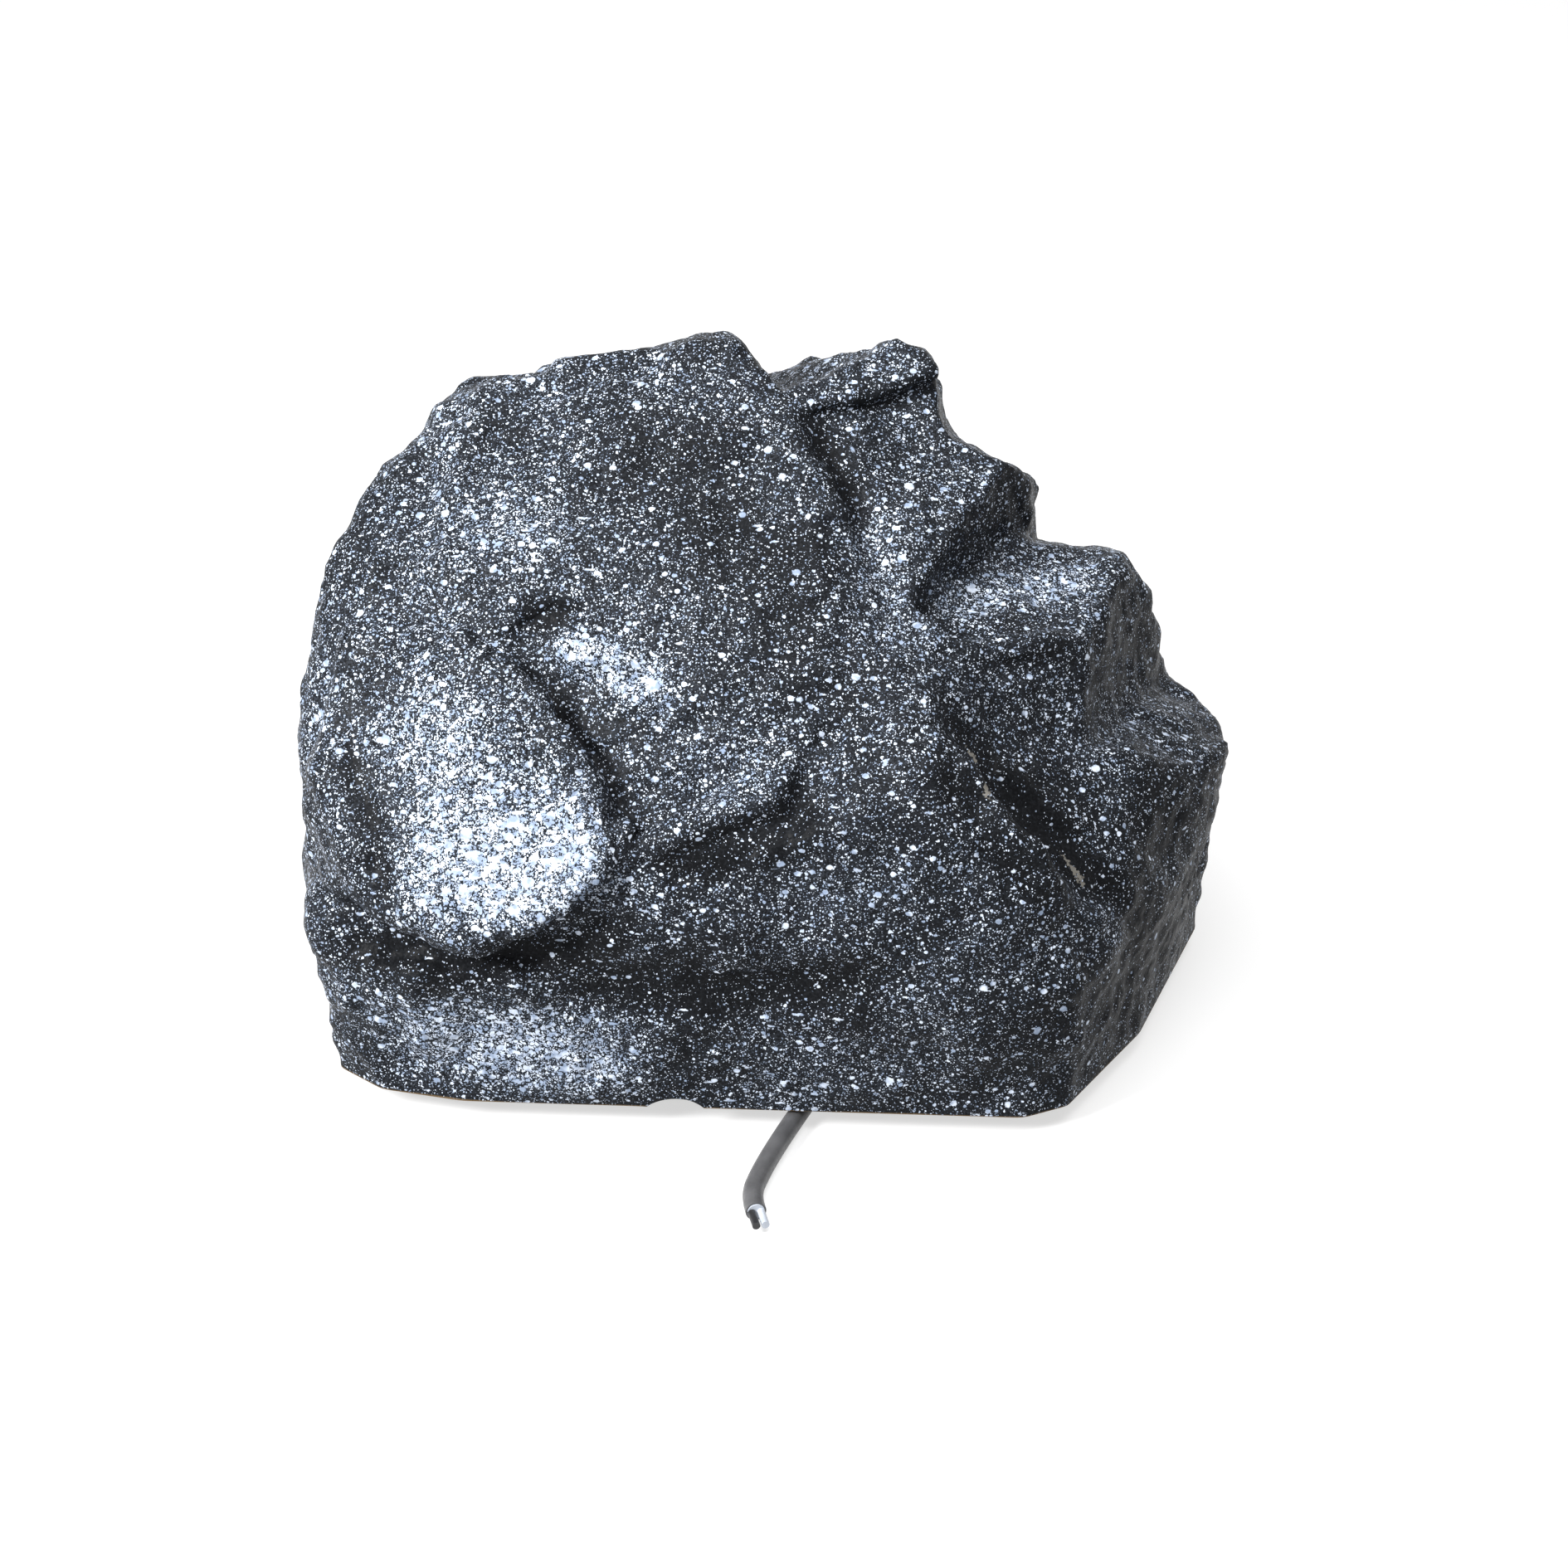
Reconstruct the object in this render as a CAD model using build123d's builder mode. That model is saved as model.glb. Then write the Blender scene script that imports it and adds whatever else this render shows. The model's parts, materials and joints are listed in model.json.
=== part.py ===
"""Garden loudspeaker in a hollow moulded boulder, with a coaxial driver behind a grille on its far side."""

import os
from math import cos, radians, sin, tan

from build123d import *

os.makedirs("parts", exist_ok=True)

# Fits
slip = 0.1  # round parts that only slide together
bond = 0.1  # glue line between round or sloping faces
soft_gap = 0.3  # between a soft piece and the moving piece that it is glued to

# Base, feet and the stone's height over the floor
foot_height = 21
foot_radius = 15
foot_draft = 4
foot_sink = 8  # depth of the screw's recess
foot_sink_radius = 6
board_recess = 13  # base board above the stone's rim
board_thickness = 9
board_clearance = 1
gasket_thickness = 2
gasket_margin = 2
lip_thickness = 5
lip_width = 22
rim_height = foot_height - board_recess
board_top = foot_height + board_thickness
lip_bottom = board_top + gasket_thickness
foot_spots = [(-92, -54), (64, -66), (-90, 58), (92, 50)]

# Screws
screw_radius = 1.75
screw_head_radius = 3.5
screw_head_height = 2
screw_tip_cover = 1  # material left above a blind screw
base_screw_count = 7

# Stone shell: the wall, the plinth band round the foot and the flat far face that takes the driver
wall = 5
band_height = 50
band_flare = 6
far_foot = 114
far_tilt = 10
far_margin = 6  # flat face left round the mouth
far_cut = 1  # stone cut away to make that face
far_corner_count = 10
plinth_outline = [
    (-146, -78), (-131, -91), (-104, -98), (82, -108), (97, -101), (124, -57),
    (149, 12), (130, 80), (94, far_foot), (-94, far_foot), (-134, 78), (-151, -30),
]  # fmt: skip

# Core of the stone by its corners, with heights over the rim; its root stands inside the band
belt_spread = 1.045
root_spread = 0.9
root_height = 10
crest = [
    (-116, 25, 197), (-82, 38, 206), (-59, 28, 214), (-25, 25, 222), (-15, 25, 222),
    (43, 28, 223), (53, 28, 219),
]  # fmt: skip
left_side = [(-157, -40, 92), (-156, -38, 124), (-149, -15, 158), (-139, 0, 178), (-140, 62, 105)]
brow = [(-101, -42, 165), (-36, -52, 164), (-9, -46, 166)]
belly = [
    (-46, -106, 92), (-22, -108, 101), (34, -104, 110), (47, -104, 108), (66, -88, 114), (76, -94, 97),
    (104, -88, 76), (0, -110, 68), (52, -113, 74),
]  # fmt: skip
right_side = [(116, 12, 154), (124, -9, 134), (102, -38, 144), (158, -8, 88), (150, 30, 77), (102, 118, 96)]

# Lumps that stand out of the core
bulge = [
    (-141, -34, 148), (-98, -50, 157), (-148, -70, 114), (-72, -75, 142), (-57, -89, 126), (-48, -106, 103),
    (-141, -90, 94), (-128, -103, 73), (-98, -117, 66), (-62, -118, 83), (-158, -64, 66), (-158, -58, 98),
    (-110, -30, 40), (-110, -20, 132),
]  # fmt: skip
rear_bump = [
    (-116, 30, 195), (-104, 45, 199), (-80, 47, 204), (-68, 45, 198), (-100, 20, 182), (-90, 70, 177),
    (-117, 60, 172), (-80, 30, 140),
]  # fmt: skip

# Steps broken out of the core: the ends of the line where floor and riser meet, then a point of each
step_reach = 320
steps = {
    "crest gap": ((2, 6, 208), (-8, 90, 177), (43, 28, 223), (-14, 25, 222)),
    "valley": ((10, 4, 201), (58, -76, 132), (62, 14, 197), (-12, -2, 214)),
    "peak side": ((57, 8, 197), (65, 104, 145), (86, 15, 175), (51, 26, 217)),
    "upper step": ((46, -40, 149), (98, 40, 160), (101, -36, 141), (84, 15, 180)),
    "upper back": ((80, -6, 164), (94, 110, 100), (118, 10, 150), (84, 15, 180)),
    "lower step": ((50, -68, 134), (150, -30, 88), (104, -92, 76), (101, -36, 143)),
    "channel": ((-86, -54, 149), (-43, -98, 97), (-34, -66, 148), (-110, -95, 160)),
    "side step": ((100, -54, 108), (139, 40, 88), (152, -16, 85), (122, 8, 147)),
}

# Wear along the stone's edges
edge_wear = 5  # along each facet from the edge
least_turn = 10  # between the facets of an edge that wears

# Cable notch in the near rim
notch_place = -33
notch_width = 19
notch_rise = 4
notch_start = 85  # in front of the stone's middle
notch_length = 35

# Driver frame and cone, with depths behind the back of the flange
cone_radius = 43
cone_sheet = 0.8
cone_neck_depth = 23
cone_rim_lift = 0.5
roll_radius = 3.5
roll_sheet = 0.8
surround_lip = 1.8
surround_edge = cone_radius + 2 * roll_radius + surround_lip
frame_margin = 1
frame_mouth = cone_radius + 2 * roll_radius + frame_margin
frame_sheet = 1.6
driver_gasket_thickness = 1.5
head_clearance = 0.7
driver_screw_circle = surround_edge + head_clearance + screw_head_radius
driver_screw_length = 14
flange_edge = 4
flange_radius = driver_screw_circle + flange_edge
flange_thickness = 2.5
spider_shelf_radius = 30
spider_shelf_width = 6
spider_shelf_depth = 24.5
seat_depth = 32
seat_bore = 15
frame_windows = 4
window_inset = 7
window_radius = frame_mouth - window_inset
window_width = 8
window_length = 42

# Grille
grille_setback = 2
grille_sheet = 1.2
grille_fit = 0.3
grille_pitch = 10.2
grille_hole = 4.1  # across flats, halved
grille_margin = 8.5

# Driver mouth in the far face, with distances inward from that face
mouth_place = -36
mouth_wall = 5
mouth_depth = 16
mouth_clearance = 2
flange_clearance = 4.5
mouth_radius = flange_radius + flange_clearance + grille_sheet + grille_fit
baffle_thickness = 12
bore_clearance = 2
baffle_bore = frame_mouth + bore_clearance
lip_rise = (lip_bottom + lip_thickness - rim_height) / cos(radians(far_tilt))
baffle_drop = (mouth_depth + baffle_thickness) * tan(radians(far_tilt))
mouth_rise = lip_rise + baffle_drop + mouth_clearance + mouth_wall + mouth_radius  # up the far face

# Motor
coil_former_radius = 11.2
coil_former_sheet = 0.4
coil_winding = 0.7
coil_winding_height = 8
coil_tail = 8  # former behind the seat
magnetic_gap = 0.7
pole_clearance = 0.8
top_plate_radius = 30
top_plate_thickness = 4
magnet_radius = 35
magnet_bore = 17
magnet_thickness = 10
yoke_radius = 31
yoke_thickness = 4
spider_sheet = 0.6
spider_wave = 1.6
spider_waves = 2

# Tweeter on a post through the pole
post_radius = 3
cup_radius = 14
cup_depth = 8
cup_setback = 12
cup_chamfer = 2.5
dome_radius = 10
dome_height = 3

# Crossover on the base board
crossover_length = 70
crossover_width = 46
crossover_sheet = 1.6
crossover_place = (-28, -44)
standoff_height = 6
standoff_radius = 3
standoff_inset = 5
inductor_radius = 14
inductor_bore = 6
inductor_height = 14
capacitor_radius = 6
capacitor_length = 26
resistor_length = 22
resistor_side = 9
terminal_length = 12
terminal_width = 14
terminal_height = 11
parts_gap = 0.5
parts_inset = 2  # from the edge of the crossover board

# Solder tags on the driver
tag_length = 16
tag_depth = 5
tag_thickness = 2
tag_gap = 0.5
tag_width = 3
tag_sheet = 0.8
tag_height = 7

# Grommet and cable
cable_radius = 3.4
grommet_place = (25, -52)
grommet_neck = 6
grommet_flange = 9
grommet_flange_thickness = 2
core_radius = 1.3
core_spread = 1.5
core_length = 8
cable_floor = cable_radius + slip
exit_drop = 10
cable_route = [
    (22.5, -59), (17, -76), (8.5, -97), (0.5, -117.5), (-5, -134), (-7.8, -146), (-6, -154.5),
]  # fmt: skip
bend_share = 0.45  # of the shorter run at a corner, taken by its bend
lead_dip = 3
lead_run = 9

# Planes of the far face and of the driver
far_normal = (0, cos(radians(far_tilt)), sin(radians(far_tilt)))
far_plane = Plane(origin=(0, far_foot, rim_height), x_dir=(-1, 0, 0), z_dir=far_normal)
mouth_centre = far_plane.from_local_coords((-mouth_place, mouth_rise, 0))
front = Plane(origin=mouth_centre, x_dir=far_plane.x_dir, z_dir=far_plane.z_dir)
driver_axis = Axis(front.origin, front.z_dir)
driver_section = Plane(origin=front.origin, x_dir=(1, 0, 0), z_dir=front.y_dir)

baffle_face = -mouth_depth
flange_back = baffle_face + driver_gasket_thickness
flange_face = flange_back + flange_thickness
shelf_face = flange_back - spider_shelf_depth
seat_back = flange_back - seat_depth
magnet_face = seat_back - top_plate_thickness
yoke_face = magnet_face - magnet_thickness
yoke_back = yoke_face - yoke_thickness
pole_radius = coil_former_radius - pole_clearance
winding_radius = coil_former_radius + coil_former_sheet + coil_winding


def lifted(corners):
    """Corners with their heights counted from the floor."""
    return [(x, y, z + rim_height) for x, y, z in corners]


def stone_lump(corners, inset):
    """A convex lump: worn along its edges on the outside, or with every facet moved in by the inset."""
    with BuildPart() as lump:
        ConvexPolyhedron(lifted(corners))
        facets = [(face.center(), face.normal_at(), face.edges()) for face in lump.faces()]
        cuts = [(centre - inset * normal, normal) for centre, normal, _ in facets if inset]
        for edge in [] if inset else lump.edges():
            one, two = [normal for _, normal, edges in facets if edge in edges]
            turn = one.get_angle(two)
            if turn > least_turn and edge.center().Z > rim_height + band_height:
                normal = (one + two).normalized()
                cuts.append((edge.center() - edge_wear * sin(radians(turn / 2)) * normal, normal))
        for point, normal in cuts:
            split(bisect_by=Plane(point, z_dir=normal), keep=Keep.BOTTOM)
    return lump.part


def step_wedge(start, end, floor, riser, growth):
    """The wedge broken out between a floor and a riser, grown outward for the inside of the wall."""
    start, end, floor, riser = [Vector(*corner) for corner in lifted([start, end, floor, riser])]
    along = (end - start).normalized()
    sides = [side - start for side in (floor, riser)]
    reaches = [(side - along * side.dot(along)).normalized() for side in sides]
    middle = (reaches[0] + reaches[1]).normalized()
    sink = middle * (growth / sin(radians(reaches[0].get_angle(middle))))
    line_ends = [start - along * growth - sink, end + along * growth - sink]
    with BuildPart() as wedge:
        far_ends = [corner + reach * step_reach for corner in line_ends for reach in reaches]
        ConvexPolyhedron(line_ends + far_ends)
    return wedge.part


def plinth_sketch(height, inset):
    """The rim's outline at a height, drawn in by the inset."""
    with BuildSketch(Plane.XY.offset(height)) as sketch:
        with BuildLine():
            Polyline(*plinth_outline, close=True)
        make_face()
        if inset:
            offset(amount=-inset, kind=Kind.INTERSECTION)
    return sketch.sketch


def stone_form(lumps, inset):
    """The stone as one form, cut flat at the far face; with an inset, the hollow inside it."""
    outline = plinth_sketch(rim_height, inset)
    with BuildPart() as form:
        add(stone_lump(core_corners, inset))
        for step in steps.values():
            add(step_wedge(*step, inset), mode=Mode.SUBTRACT)
        extrude(outline, amount=band_height - inset, taper=-band_flare)
        for corners in lumps:
            add(stone_lump(corners, inset))
        split(bisect_by=far_plane.offset(-inset), keep=Keep.BOTTOM)
    return form.part


def save(piece, name):
    """Labels a finished piece and writes it."""
    piece.part.label = name
    export_step(piece.part, f"parts/{name}.step")


# Screw places round the lip, at the middle of its longest sides
lip_line = plinth_sketch(0, wall + board_clearance + lip_width / 2)
long_sides = lip_line.edges().sort_by(SortBy.LENGTH)[-base_screw_count:]
base_screw_spots = [((side @ 0.5).X, (side @ 0.5).Y) for side in long_sides]

# Corners of the core: the belt over the band, the root, the flat round the mouth and the sides
belt = [(belt_spread * x, belt_spread * y, band_height) for x, y in plinth_outline]
root = [(root_spread * x, root_spread * y, root_height) for x, y in plinth_outline]
far_ring_radius = (mouth_radius + mouth_wall + far_margin) / cos(radians(180 / far_corner_count))
far_angles = [radians(360 * (corner + 0.5) / far_corner_count) for corner in range(far_corner_count)]
far_ring = [(far_ring_radius * cos(angle), far_ring_radius * sin(angle), far_cut) for angle in far_angles]
far_spots = [front.from_local_coords(corner) for corner in far_ring]
far_corners = [(spot.X, spot.Y, spot.Z - rim_height) for spot in far_spots]
core_corners = belt + root + far_corners + crest + left_side + brow + belly + right_side

# Stone shell
outer_form = stone_form([bulge, rear_bump], 0)
inner_form = stone_form([bulge], wall)
lip_outline = plinth_sketch(lip_bottom, 0)
lip_opening = plinth_sketch(lip_bottom, wall + lip_width)
notch_radius = (notch_width**2 / 4 + notch_rise**2) / (2 * notch_rise)
with BuildPart() as rock_shell:
    add(outer_form)
    add(inner_form, mode=Mode.SUBTRACT)
    extrude(lip_outline, amount=lip_thickness)
    extrude(lip_opening, amount=lip_thickness, mode=Mode.SUBTRACT)
    split(bisect_by=far_plane, keep=Keep.BOTTOM)
    with BuildSketch(front):
        Circle(mouth_radius + mouth_wall)
    extrude(amount=-mouth_depth)
    with BuildSketch(front):
        Circle(mouth_radius)
    extrude(amount=-mouth_depth, mode=Mode.SUBTRACT)
    with BuildSketch(Plane.XZ.offset(notch_start)):
        with Locations((notch_place, rim_height + notch_rise - notch_radius)):
            Circle(notch_radius)
    extrude(amount=notch_length, mode=Mode.SUBTRACT)
    with BuildSketch(Plane.XY.offset(lip_bottom)):
        with Locations(*base_screw_spots):
            Circle(screw_radius + slip)
    extrude(amount=lip_thickness - screw_tip_cover, mode=Mode.SUBTRACT)
save(rock_shell, "rock_shell")

# Base board, its gasket and the screws that hold them to the lip
board_outline = plinth_sketch(foot_height, wall + board_clearance)
board_edge = far_plane.offset(-wall - board_clearance)
with BuildPart() as base_board:
    extrude(board_outline, amount=board_thickness)
    split(bisect_by=board_edge, keep=Keep.BOTTOM)
    with BuildSketch(Plane.XY.offset(foot_height)):
        with Locations(*base_screw_spots, *foot_spots):
            Circle(screw_radius + slip)
        with Locations(grommet_place):
            Circle(grommet_neck + slip)
    extrude(amount=board_thickness, mode=Mode.SUBTRACT)
save(base_board, "base_board")

gasket_outline = plinth_sketch(board_top, wall + board_clearance + gasket_margin)
gasket_opening = plinth_sketch(board_top, wall + lip_width)
with BuildPart() as base_gasket:
    extrude(gasket_outline, amount=gasket_thickness)
    split(bisect_by=board_edge, keep=Keep.BOTTOM)
    extrude(gasket_opening, amount=gasket_thickness, mode=Mode.SUBTRACT)
    with BuildSketch(Plane.XY.offset(board_top)):
        with Locations(*base_screw_spots):
            Circle(screw_radius + slip)
    extrude(amount=gasket_thickness, mode=Mode.SUBTRACT)
save(base_gasket, "base_gasket")

base_screw_length = board_thickness + gasket_thickness + lip_thickness - 2 * screw_tip_cover
with BuildPart() as base_screws:
    with BuildSketch(Plane.XY.offset(foot_height)):
        with Locations(*base_screw_spots):
            Circle(screw_head_radius)
    extrude(amount=-screw_head_height)
    with BuildSketch(Plane.XY.offset(foot_height)):
        with Locations(*base_screw_spots):
            Circle(screw_radius)
    extrude(amount=base_screw_length)
save(base_screws, "base_screws")

# Rubber feet, each on a screw sunk in from below
for number, spot in enumerate(foot_spots, start=1):
    with BuildPart() as foot:
        with BuildSketch(Plane.XY.offset(foot_height)):
            with Locations(spot):
                Circle(foot_radius)
        extrude(amount=-foot_height, taper=foot_draft)
        with BuildSketch():
            with Locations(spot):
                Circle(foot_sink_radius)
        extrude(amount=foot_sink, mode=Mode.SUBTRACT)
        with BuildSketch():
            with Locations(spot):
                Circle(screw_radius + slip)
        extrude(amount=foot_height, mode=Mode.SUBTRACT)
    save(foot, f"foot_{number}")

with BuildPart() as foot_screws:
    with BuildSketch(Plane.XY.offset(foot_sink)):
        with Locations(*foot_spots):
            Circle(screw_head_radius)
    extrude(amount=-screw_head_height)
    with BuildSketch(Plane.XY.offset(foot_sink)):
        with Locations(*foot_spots):
            Circle(screw_radius)
    extrude(amount=board_top - screw_tip_cover - foot_sink)
save(foot_screws, "foot_screws")

# Baffle ring glued to the back of the mouth
with BuildPart() as baffle_ring:
    with BuildSketch(front.offset(baffle_face)):
        Circle(mouth_radius + mouth_wall)
        Circle(baffle_bore, mode=Mode.SUBTRACT)
        with PolarLocations(driver_screw_circle, frame_windows):
            Circle(screw_radius + slip, mode=Mode.SUBTRACT)
    extrude(amount=-baffle_thickness)
save(baffle_ring, "baffle_ring")

# Grille: a shallow pressed cup with a field of hexagonal holes
grille_radius = mouth_radius - grille_fit
grille_field = mouth_radius - grille_margin
hole_count = 2 * int(grille_field / grille_pitch) + 3
hole_spots = [
    spot.position
    for spot in HexLocations(grille_pitch / 2, hole_count, hole_count)
    if spot.position.length < grille_field
]
with BuildPart() as grille:
    with BuildSketch(front.offset(-grille_setback)):
        Circle(grille_radius)
    extrude(amount=grille_setback - mouth_depth)
    with BuildSketch(front.offset(-grille_setback - grille_sheet)):
        Circle(grille_radius - grille_sheet)
    extrude(amount=grille_setback + grille_sheet - mouth_depth, mode=Mode.SUBTRACT)
    with BuildSketch(front.offset(-grille_setback)):
        with Locations(*hole_spots):
            RegularPolygon(grille_hole, 6, major_radius=False)
    extrude(amount=-grille_sheet, mode=Mode.SUBTRACT)
save(grille, "grille")

# Driver frame with its gasket and screws
with BuildPart() as driver_gasket:
    with BuildSketch(front.offset(baffle_face)):
        Circle(flange_radius)
        Circle(baffle_bore, mode=Mode.SUBTRACT)
        with PolarLocations(driver_screw_circle, frame_windows):
            Circle(screw_radius + slip, mode=Mode.SUBTRACT)
    extrude(amount=driver_gasket_thickness)
save(driver_gasket, "driver_gasket")

shelf_radius = spider_shelf_radius + spider_shelf_width
with BuildPart() as driver_frame:
    with BuildSketch(driver_section):
        Polygon(
            (flange_radius, flange_face),
            (frame_mouth - frame_sheet, flange_face),
            (shelf_radius, shelf_face),
            (spider_shelf_radius, shelf_face),
            (spider_shelf_radius, seat_back + frame_sheet),
            (seat_bore, seat_back + frame_sheet),
            (seat_bore, seat_back),
            (spider_shelf_radius + frame_sheet, seat_back),
            (spider_shelf_radius + frame_sheet, shelf_face - frame_sheet),
            (shelf_radius + frame_sheet, shelf_face - frame_sheet),
            (frame_mouth, flange_back),
            (flange_radius, flange_back),
            align=None,
        )
    revolve(axis=driver_axis)
    with BuildSketch(front.offset(flange_face)):
        with PolarLocations(window_radius, frame_windows, start_angle=180 / frame_windows):
            Rectangle(window_width, window_length)
        with PolarLocations(driver_screw_circle, frame_windows):
            Circle(screw_radius + slip)
    extrude(amount=shelf_face - frame_sheet - flange_face, mode=Mode.SUBTRACT)
save(driver_frame, "driver_frame")

with BuildPart() as driver_screws:
    with BuildSketch(front.offset(flange_face)):
        with PolarLocations(driver_screw_circle, frame_windows):
            Circle(screw_head_radius)
    extrude(amount=screw_head_height)
    with BuildSketch(front.offset(flange_face)):
        with PolarLocations(driver_screw_circle, frame_windows):
            Circle(screw_radius)
    extrude(amount=-driver_screw_length)
save(driver_screws, "driver_screws")

# Cone, surround and spider
former_outside = coil_former_radius + coil_former_sheet
cone_neck = flange_back - cone_neck_depth
cone_rim = flange_face + cone_rim_lift
with BuildPart() as driver_cone:
    with BuildSketch(driver_section):
        Polygon(
            (former_outside + bond, cone_neck),
            (former_outside + bond + 2 * cone_sheet, cone_neck),
            (cone_radius, cone_rim - cone_sheet),
            (cone_radius, cone_rim),
            (cone_radius - 2 * cone_sheet, cone_rim),
            (former_outside + bond, cone_neck + 2 * cone_sheet),
            align=None,
        )
    revolve(axis=driver_axis)
save(driver_cone, "driver_cone")

surround_base = cone_rim + soft_gap
roll_middle = cone_radius + roll_radius
lip_start = roll_middle + roll_radius
with BuildPart() as driver_surround:
    with BuildSketch(driver_section):
        with BuildLine():
            outside = ThreePointArc(
                (roll_middle - roll_radius, surround_base),
                (roll_middle, surround_base + roll_radius),
                (lip_start, surround_base),
            )
            Polyline(
                outside @ 1,
                (lip_start + surround_lip, surround_base),
                (lip_start + surround_lip, flange_face + bond),
                (lip_start - roll_sheet, flange_face + bond),
                (lip_start - roll_sheet, surround_base),
            )
            inside = ThreePointArc(
                (lip_start - roll_sheet, surround_base),
                (roll_middle, surround_base + roll_radius - roll_sheet),
                (roll_middle - roll_radius + roll_sheet, surround_base),
            )
            Polyline(inside @ 1, outside @ 0)
        make_face()
    revolve(axis=driver_axis)
save(driver_surround, "driver_surround")

spider_inside = former_outside + soft_gap
spider_outside = shelf_radius - soft_gap
spider_step = (spider_outside - spider_inside) / (2 * spider_waves + 1)
spider_face = shelf_face + bond
spider_line = [
    (spider_outside - step * spider_step, spider_face + (spider_wave if step % 4 in (2, 3) else 0))
    for step in range(2 * spider_waves + 2)
]
with BuildPart() as driver_spider:
    with BuildSketch(driver_section):
        upper = [(r, a + spider_sheet) for r, a in reversed(spider_line)]
        Polygon(*spider_line, *upper, align=None)
    revolve(axis=driver_axis)
save(driver_spider, "driver_spider")

# Voice coil and magnet
with BuildPart() as voice_coil:
    with BuildSketch(front.offset(seat_back - coil_tail)):
        Circle(former_outside)
        Circle(coil_former_radius, mode=Mode.SUBTRACT)
    extrude(amount=cone_neck + 2 * cone_sheet - seat_back + coil_tail)
    with BuildSketch(front.offset(magnet_face + (top_plate_thickness - coil_winding_height) / 2)):
        Circle(winding_radius)
        Circle(coil_former_radius, mode=Mode.SUBTRACT)
    extrude(amount=coil_winding_height)
save(voice_coil, "voice_coil")

with BuildPart() as top_plate:
    with BuildSketch(front.offset(seat_back)):
        Circle(top_plate_radius)
        Circle(winding_radius + magnetic_gap, mode=Mode.SUBTRACT)
    extrude(amount=-top_plate_thickness)
save(top_plate, "top_plate")

with BuildPart() as ring_magnet:
    with BuildSketch(front.offset(magnet_face)):
        Circle(magnet_radius)
        Circle(magnet_bore, mode=Mode.SUBTRACT)
    extrude(amount=-magnet_thickness)
save(ring_magnet, "ring_magnet")

with BuildPart() as pole_yoke:
    with BuildSketch(front.offset(yoke_face)):
        Circle(yoke_radius)
    extrude(amount=-yoke_thickness)
    with BuildSketch(front.offset(yoke_back)):
        Circle(pole_radius)
    extrude(amount=seat_back - yoke_back)
    with BuildSketch(front.offset(yoke_back)):
        Circle(post_radius + slip)
    extrude(amount=seat_back - yoke_back, mode=Mode.SUBTRACT)
save(pole_yoke, "pole_yoke")

# Tweeter
cup_face = -cup_setback
cup_back = cup_face - cup_depth
with BuildPart() as tweeter_post:
    with BuildSketch(front.offset(yoke_back)):
        Circle(post_radius)
    extrude(amount=cup_back - yoke_back)
save(tweeter_post, "tweeter_post")

with BuildPart() as tweeter_cup:
    with BuildSketch(front.offset(cup_back)):
        Circle(cup_radius)
    extrude(amount=cup_depth)
    chamfer(tweeter_cup.edges().sort_by(driver_axis)[0], cup_chamfer)
save(tweeter_cup, "tweeter_cup")

dome_ball = (dome_radius**2 + dome_height**2) / (2 * dome_height)
with BuildPart() as tweeter_dome:
    with BuildSketch(driver_section):
        with BuildLine():
            crown = RadiusArc((dome_radius, cup_face), (0, cup_face + dome_height), -dome_ball)
            Polyline(crown @ 1, (0, cup_face), crown @ 0)
        make_face()
    revolve(axis=driver_axis)
save(tweeter_dome, "tweeter_dome")

# Crossover board on its standoffs, with its parts and the cable's terminal block
board_plane = Plane(origin=(*crossover_place, board_top))
deck_plane = board_plane.offset(standoff_height)
parts_plane = deck_plane.offset(crossover_sheet)
standoff_grid = (crossover_length - 2 * standoff_inset, crossover_width - 2 * standoff_inset)
with BuildPart() as crossover_standoffs:
    with BuildSketch(board_plane):
        with GridLocations(*standoff_grid, 2, 2):
            Circle(standoff_radius)
    extrude(amount=standoff_height)
save(crossover_standoffs, "crossover_standoffs")

with BuildPart() as crossover_board:
    with BuildSketch(deck_plane):
        Rectangle(crossover_length, crossover_width)
    extrude(amount=crossover_sheet)
save(crossover_board, "crossover_board")

inductor_spot = (-crossover_length / 2 + inductor_radius + parts_inset, 0)
with BuildPart() as inductor:
    with BuildSketch(parts_plane):
        with Locations(inductor_spot):
            Circle(inductor_radius)
            Circle(inductor_bore, mode=Mode.SUBTRACT)
    extrude(amount=inductor_height)
save(inductor, "inductor")

capacitor_spot = (
    crossover_length / 2 - parts_inset - capacitor_length,
    crossover_width / 2 - parts_inset - capacitor_radius,
    capacitor_radius + bond,
)
capacitor_end = parts_plane.from_local_coords(capacitor_spot)
capacitor_plane = Plane(origin=capacitor_end, x_dir=(0, 1, 0), z_dir=(1, 0, 0))
with BuildPart() as capacitor:
    with BuildSketch(capacitor_plane):
        Circle(capacitor_radius)
    extrude(amount=capacitor_length)
save(capacitor, "capacitor")

resistor_spot = (
    crossover_length / 2 - parts_inset - resistor_length / 2,
    -crossover_width / 2 + parts_inset + resistor_side / 2,
)
with BuildPart() as resistor:
    with BuildSketch(parts_plane):
        with Locations(resistor_spot):
            Rectangle(resistor_length, resistor_side)
    extrude(amount=resistor_side)
save(resistor, "resistor")

terminal_spot = (
    crossover_length / 2 - terminal_length / 2,
    resistor_spot[1] + resistor_side / 2 + parts_gap + terminal_width / 2,
)
with BuildPart() as terminal_block:
    with BuildSketch(parts_plane):
        with Locations(terminal_spot):
            Rectangle(terminal_length, terminal_width)
    extrude(amount=terminal_height)
save(terminal_block, "terminal_block")

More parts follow.
